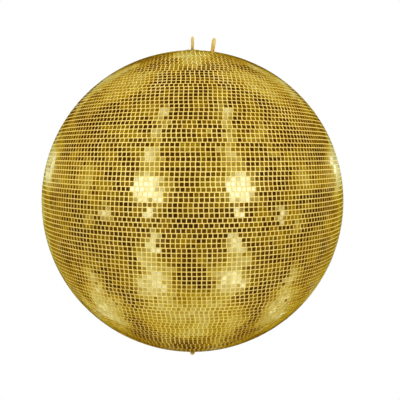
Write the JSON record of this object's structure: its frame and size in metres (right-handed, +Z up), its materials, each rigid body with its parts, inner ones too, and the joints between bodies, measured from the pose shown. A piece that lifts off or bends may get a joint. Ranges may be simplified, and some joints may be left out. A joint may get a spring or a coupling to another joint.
{
  "type": "mirror ball",
  "caption": "Gold mirror ball with square tiles in level rows, hung from a swivel eye, with a safety eye beside it and a capped rod end below.",
  "frame": {"origin": "middle of the hanging eye's hole, on the ball's axis", "axes": "+Z up along the axis that the ball turns about, +X towards the safety eye"},
  "size_m": [1, 1, 1.098],
  "materials": {
    "mirror_tile": "gold-tinted mirror glass, polished, one flat tile beside the next",
    "shell_plastic": "pale gold moulded plastic with the tile adhesive on it, matt",
    "gold_plate": "gold lacquered steel plate, satin",
    "forged_eye": "forged steel, yellow zinc plated",
    "zinc_fastener": "turned steel, yellow zinc plated",
    "plain_steel": "plain bright steel, inside the ball",
    "bronze": "turned bearing bronze, oiled"
  },
  "bodies": {
    "hanger": {"swivel_eye": "forged_eye", "eye_thrust_washer": "bronze", "eye_castle_nut": "zinc_fastener", "eye_split_pin": "plain_steel"},
    "ball": {"swivel_hub": "zinc_fastener", "hub_bush": "bronze", "hub_ring_nut": "plain_steel", "top_plate": "gold_plate", "top_inner_plate": "plain_steel", "top_plate_screw_1": "zinc_fastener", "top_plate_screw_2": "zinc_fastener", "top_plate_screw_3": "zinc_fastener", "top_plate_screw_4": "zinc_fastener", "top_plate_nut_1": "zinc_fastener", "top_plate_nut_2": "zinc_fastener", "top_plate_nut_3": "zinc_fastener", "top_plate_nut_4": "zinc_fastener", "safety_eye": "forged_eye", "safety_eye_washer": "zinc_fastener", "safety_eye_nut": "zinc_fastener", "central_tube": "plain_steel", "upper_tube_pin": "plain_steel", "lower_tube_pin": "plain_steel", "upper_shell": "shell_plastic", "lower_shell": "shell_plastic", "joint_ring": "plain_steel", "joint_screw_1": "zinc_fastener", "joint_screw_2": "zinc_fastener", "joint_screw_3": "zinc_fastener", "joint_screw_4": "zinc_fastener", "joint_screw_5": "zinc_fastener", "joint_screw_6": "zinc_fastener", "joint_screw_7": "zinc_fastener", "joint_screw_8": "zinc_fastener", "mirror_band_01": "mirror_tile", "mirror_band_02": "mirror_tile", "mirror_band_03": "mirror_tile", "mirror_band_04": "mirror_tile", "mirror_band_05": "mirror_tile", "mirror_band_06": "mirror_tile", "mirror_band_07": "mirror_tile", "mirror_band_08": "mirror_tile", "mirror_band_09": "mirror_tile", "mirror_band_10": "mirror_tile", "mirror_band_11": "mirror_tile", "mirror_band_12": "mirror_tile", "bottom_hub": "zinc_fastener", "bottom_ring_nut": "plain_steel", "bottom_plate": "gold_plate", "bottom_inner_plate": "plain_steel", "bottom_plate_screw_1": "zinc_fastener", "bottom_plate_screw_2": "zinc_fastener", "bottom_plate_screw_3": "zinc_fastener", "bottom_plate_nut_1": "zinc_fastener", "bottom_plate_nut_2": "zinc_fastener", "bottom_plate_nut_3": "zinc_fastener", "bottom_stud": "zinc_fastener", "bottom_washer": "zinc_fastener", "bottom_nut": "zinc_fastener", "bottom_cap_nut": "zinc_fastener"}
  },
  "joints": [
    {"name": "ball_spin", "type": "hinge", "parent": "hanger", "child": "ball", "pos_m": [0, 0, -0.5305], "axis": [0, 0, 1], "continuous": true}
  ]
}
